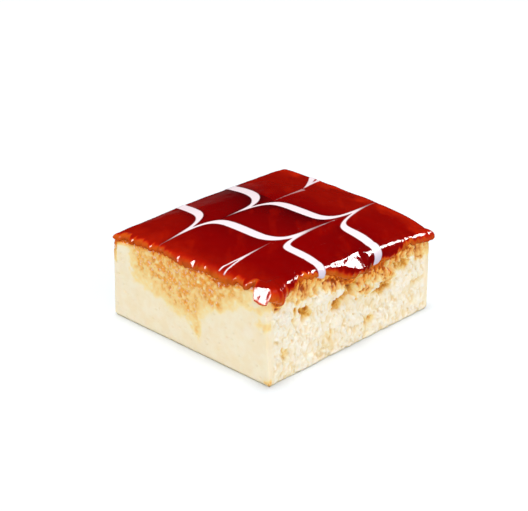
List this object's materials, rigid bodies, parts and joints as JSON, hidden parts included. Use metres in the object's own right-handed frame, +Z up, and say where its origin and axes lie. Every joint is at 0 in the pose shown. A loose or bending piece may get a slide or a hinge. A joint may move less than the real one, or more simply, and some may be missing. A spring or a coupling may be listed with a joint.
{
  "type": "tres leches cake slice",
  "caption": "Square slice of milk-soaked sponge cake with a glossy caramel glaze that runs over the rim and feathered white icing lines.",
  "frame": {"origin": "middle of the slice's bounding box, on the flat underside it rests on", "axes": "+Z up, out of the glazed top; -Y out of the smooth knife-cut face; +X out of the torn face beside it; Y is the longer side"},
  "size_m": [0.0774, 0.0862, 0.0385],
  "materials": {
    "sponge": "soft moist cream sponge crumb, stained gold by caramel in its upper third",
    "caramel_glaze": "wet glossy deep red-brown caramel, orange where thin, with white icing lines feathered into it"
  },
  "bodies": {
    "root": {"sponge": "sponge", "caramel_glaze": "caramel_glaze"}
  },
  "joints": []
}
